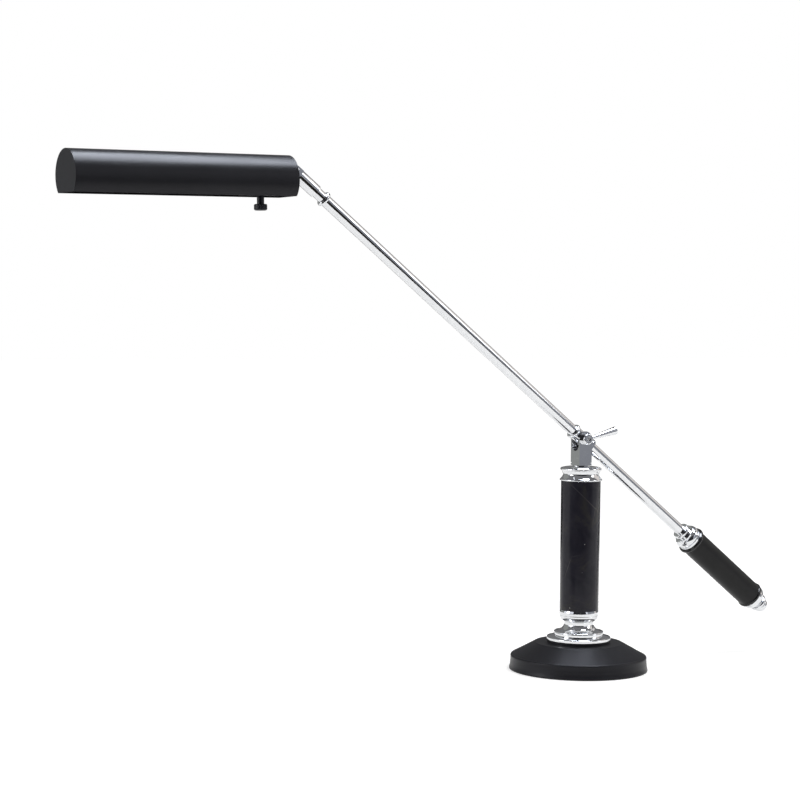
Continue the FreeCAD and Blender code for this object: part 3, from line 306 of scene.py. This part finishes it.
def brass():
    """Bright brass with turning marks, for the socket's shell and the bulb's base."""
    s = Shader("spun_brass")
    marks = s.noise(500, 3, 0.5, 0, s.stretch((6, 1, 1)))
    s.tint(s.noise(70, 4), (0.62, 0.44, 0.17), (0.74, 0.55, 0.25))
    s.feed("Roughness", s.span(marks, 0.2, 0.34))
    s.bump(marks, 0.1, 0.0002)
    s.set(Metallic=1.0)
    return s.material


def frosted_glass():
    """Powder-coated glass of the tubular bulb."""
    s = Shader("frosted_bulb_glass")
    powder = s.noise(700, 3)
    s.tint(powder, (0.86, 0.86, 0.84), (0.93, 0.93, 0.91))
    s.feed("Roughness", s.span(powder, 0.35, 0.5))
    s.bump(powder, 0.05, 0.0001)
    s.set(Transmission_Weight=0.45, IOR=1.48)
    return s.material


# The look of each material slot in the record
LOOKS = {
    "black_paint": black_paint(), "chrome": chrome(), "marble": marble(),
    "cast_iron": cast_iron(), "steel": steel(), "felt": felt(), "rubber": black_rubber(),
    "weight_black": sleeve_black(), "black_plastic": black_plastic(), "brass": brass(),
    "bulb_glass": frosted_glass(),
}


def dress_nodes():
    """Give each CAD node the material of its slot in the record."""
    for entry in frame["record"]["subparts"]:
        node = NODES[entry["node"]]
        look = LOOKS[entry["material_slot"]]
        if not node.data.materials:
            node.data.materials.append(look)
        for slot in node.material_slots:
            slot.material = look


def floor_material():
    """A pale surface: white to the camera, a little dimmer in reflections, and it keeps shadows."""
    s = Shader("pale_floor")
    s.tint(s.noise(3, 2), FLOOR_COLOUR, tuple(c * FLOOR_MOTTLE for c in FLOOR_COLOUR))
    s.set(Roughness=0.9, Specular_IOR_Level=0.0)
    rays = s.tree.nodes.new("ShaderNodeLightPath").outputs
    reflected = math_node(s.tree, "MULTIPLY", rays["Is Glossy Ray"], FLOOR_REFLECTED)
    seen = math_node(s.tree, "MAXIMUM", rays["Is Camera Ray"], reflected)
    shown = math_node(s.tree, "MAXIMUM", seen, rays["Is Transmission Ray"])
    s.feed("Emission Strength", math_node(s.tree, "MULTIPLY", shown, FLOOR_GLOW))
    distance = s.tree.nodes.new("ShaderNodeVectorMath")
    distance.operation = "LENGTH"
    s.link(s.place, distance.inputs[0])
    fade = s.span(distance.outputs["Value"], 0, 1, *FLOOR_FADE)
    s.feed("Emission Color", s.ramp(fade, (0.0, FLOOR_NEAR_TONE), (1.0, 1.0)))
    return s.material


def glow_material(name, colour, strength=1.0):
    """A nearly even tone for a card that only shows in reflections."""
    s = Shader(name)
    darker = tuple(c * 0.8 for c in colour)
    s.feed("Emission Color", s.ramp(s.noise(1.5, 2), (0.2, darker), (0.8, colour)))
    s.set(Base_Color=(0, 0, 0, 1), Roughness=1.0, Specular_IOR_Level=0.0,
          Emission_Strength=strength)
    return s.material


def card(name, width, height, material, centre, facing):
    """A flat stage card that faces a direction."""
    mesh = bpy.data.meshes.new(name)
    w, h = width / 2, height / 2
    mesh.from_pydata([(-w, -h, 0), (w, -h, 0), (w, h, 0), (-w, h, 0)], [], [(0, 1, 2, 3)])
    obj = bpy.data.objects.new(name, mesh)
    bpy.context.scene.collection.objects.link(obj)
    obj.location = centre
    obj.rotation_mode = "QUATERNION"
    obj.rotation_quaternion = Vector(facing).to_track_quat("Z", "Y")
    mesh.materials.append(material)
    return obj


def reflected_card(name, width, height, colour, centre, facing, strength=1.0):
    """A glowing card that only shows in reflections."""
    tone = glow_material(name + "_tone", colour, strength)
    obj = card(name, width, height, tone, centre, facing)
    obj.visible_camera = False
    obj.visible_diffuse = False
    obj.visible_shadow = False
    return obj


def round_the_lamp(angle, distance, height):
    """A place round the lamp: the angle is from the camera's side, to the right of its view."""
    turn = math.radians(angle)
    level = (TO_CAMERA * math.cos(turn) + TO_RIGHT * math.sin(turn)) * distance
    return level + UP * height


def upright_card(name, angle, distance, low, high, width, colour):
    """A reflected card that stands round the lamp and faces it."""
    centre = round_the_lamp(angle, distance, (low + high) / 2)
    reflected_card(name, width, high - low, colour, centre, (-centre.x, -centre.y, 0))


def dark_floor(name, right, near, far, width):
    """Part of the floor that is dark in reflections, between two distances to the camera."""
    centre = TO_CAMERA * ((near + far) / 2) + TO_RIGHT * right + UP * DARK_FLOOR_LIFT
    obj = reflected_card(name, width, far - near, DARK_FLOOR_COLOUR, centre, UP)
    obj.rotation_quaternion = Matrix((
        (TO_RIGHT.x, TO_CAMERA.x, 0),
        (TO_RIGHT.y, TO_CAMERA.y, 0),
        (0, 0, -1))).to_quaternion()


def lamp(name, power, width, height, centre, aim):
    """A soft rectangular light that the camera does not see: power is in watts."""
    data = bpy.data.lights.new(name, "AREA")
    data.shape = "RECTANGLE"
    data.size = width
    data.size_y = height
    data.energy = power
    obj = bpy.data.objects.new(name, data)
    bpy.context.scene.collection.objects.link(obj)
    obj.location = centre
    obj.rotation_mode = "QUATERNION"
    obj.rotation_quaternion = (Vector(aim) - Vector(centre)).to_track_quat("-Z", "Y")
    obj.visible_camera = False
    return obj


def make_world():
    """An even white surround, dimmer as a light than it looks."""
    world = bpy.data.worlds.new("studio")
    bpy.context.scene.world = world
    world.use_nodes = True
    tree = world.node_tree
    tree.nodes.clear()

    def background(colour, strength):
        node = tree.nodes.new("ShaderNodeBackground")
        node.inputs["Color"].default_value = (*colour, 1)
        node.inputs["Strength"].default_value = strength
        return node.outputs[0]

    def choose(factor, otherwise, chosen):
        node = tree.nodes.new("ShaderNodeMixShader")
        for socket, source in zip(node.inputs, (factor, otherwise, chosen)):
            tree.links.new(source, socket)
        return node.outputs[0]

    rays = tree.nodes.new("ShaderNodeLightPath").outputs
    direct = math_node(tree, "MAXIMUM", rays["Is Camera Ray"], rays["Is Transmission Ray"])
    indirect = choose(rays["Is Glossy Ray"], background(*WORLD_LIT), background(*WORLD_REFLECTED))
    output = tree.nodes.new("ShaderNodeOutputWorld")
    tree.links.new(choose(direct, indirect, background(*WORLD_SEEN)), output.inputs["Surface"])


def make_stage():
    """Floor, reflection cards and lamps."""
    card("floor", FLOOR_SIZE, FLOOR_SIZE, floor_material(), (0, 0, 0), UP)

    # The pale table ends round the lamp, and the room beyond it is dark in front
    for floor in DARK_FLOORS:
        dark_floor(*floor)
    for upright in REFLECTION_CARDS:
        upright_card(*upright)

    strip = reflected_card(
        "overhead_strip", *STRIP_SIZE, STRIP_COLOUR, STRIP_PLACE, DOWN, STRIP_GLOW)
    turned = Quaternion(UP, math.radians(STRIP_TURN))
    strip.rotation_quaternion = turned @ strip.rotation_quaternion
    reflected_card("grey_ceiling", CEILING_SIZE, CEILING_SIZE, CEILING_COLOUR, CEILING_PLACE, DOWN)

    # Each lamp: power, width, height, place and aim
    top = lamp("top_softbox", 22, 1.1, 0.4, (0.62, -0.28, 2.5), (0.2, -0.1, 0.3))
    top.visible_glossy = False
    lamp("left_softbox", 11, 0.8, 1.4, round_the_lamp(-72, 2.4, 1.0), (0, 0, 0.3))
    lamp("right_softbox", 8, 0.7, 1.1, round_the_lamp(84, 2.4, 1.5), (0, 0, 0.3))


def make_camera():
    """The photograph's view: turned, pitched down and rolled a little."""
    turn = math.radians(CAMERA_TURN)
    pitch = math.radians(CAMERA_PITCH)
    roll = math.radians(CAMERA_ROLL)
    level = Vector((math.sin(turn), math.cos(turn), 0))
    level_right = Vector((math.cos(turn), -math.sin(turn), 0))
    forward = level * math.cos(pitch) - UP * math.sin(pitch)
    down = -(level * math.sin(pitch) + UP * math.cos(pitch))
    right = level_right * math.cos(roll) + down * math.sin(roll)
    up = right.cross(forward)
    data = bpy.data.cameras.new("camera")
    data.lens = CAMERA_LENS
    data.sensor_width = CAMERA_SENSOR
    data.clip_end = CAMERA_REACH
    camera = bpy.data.objects.new("camera", data)
    bpy.context.scene.collection.objects.link(camera)
    rows = [(right[i], up[i], -forward[i], CAMERA_PLACE[i]) for i in range(3)]
    camera.matrix_world = Matrix((*rows, (0, 0, 0, 1)))
    bpy.context.scene.camera = camera


make_camera()
make_world()
make_stage()
dress_nodes()
bpy.context.scene.view_settings.view_transform = "Standard"
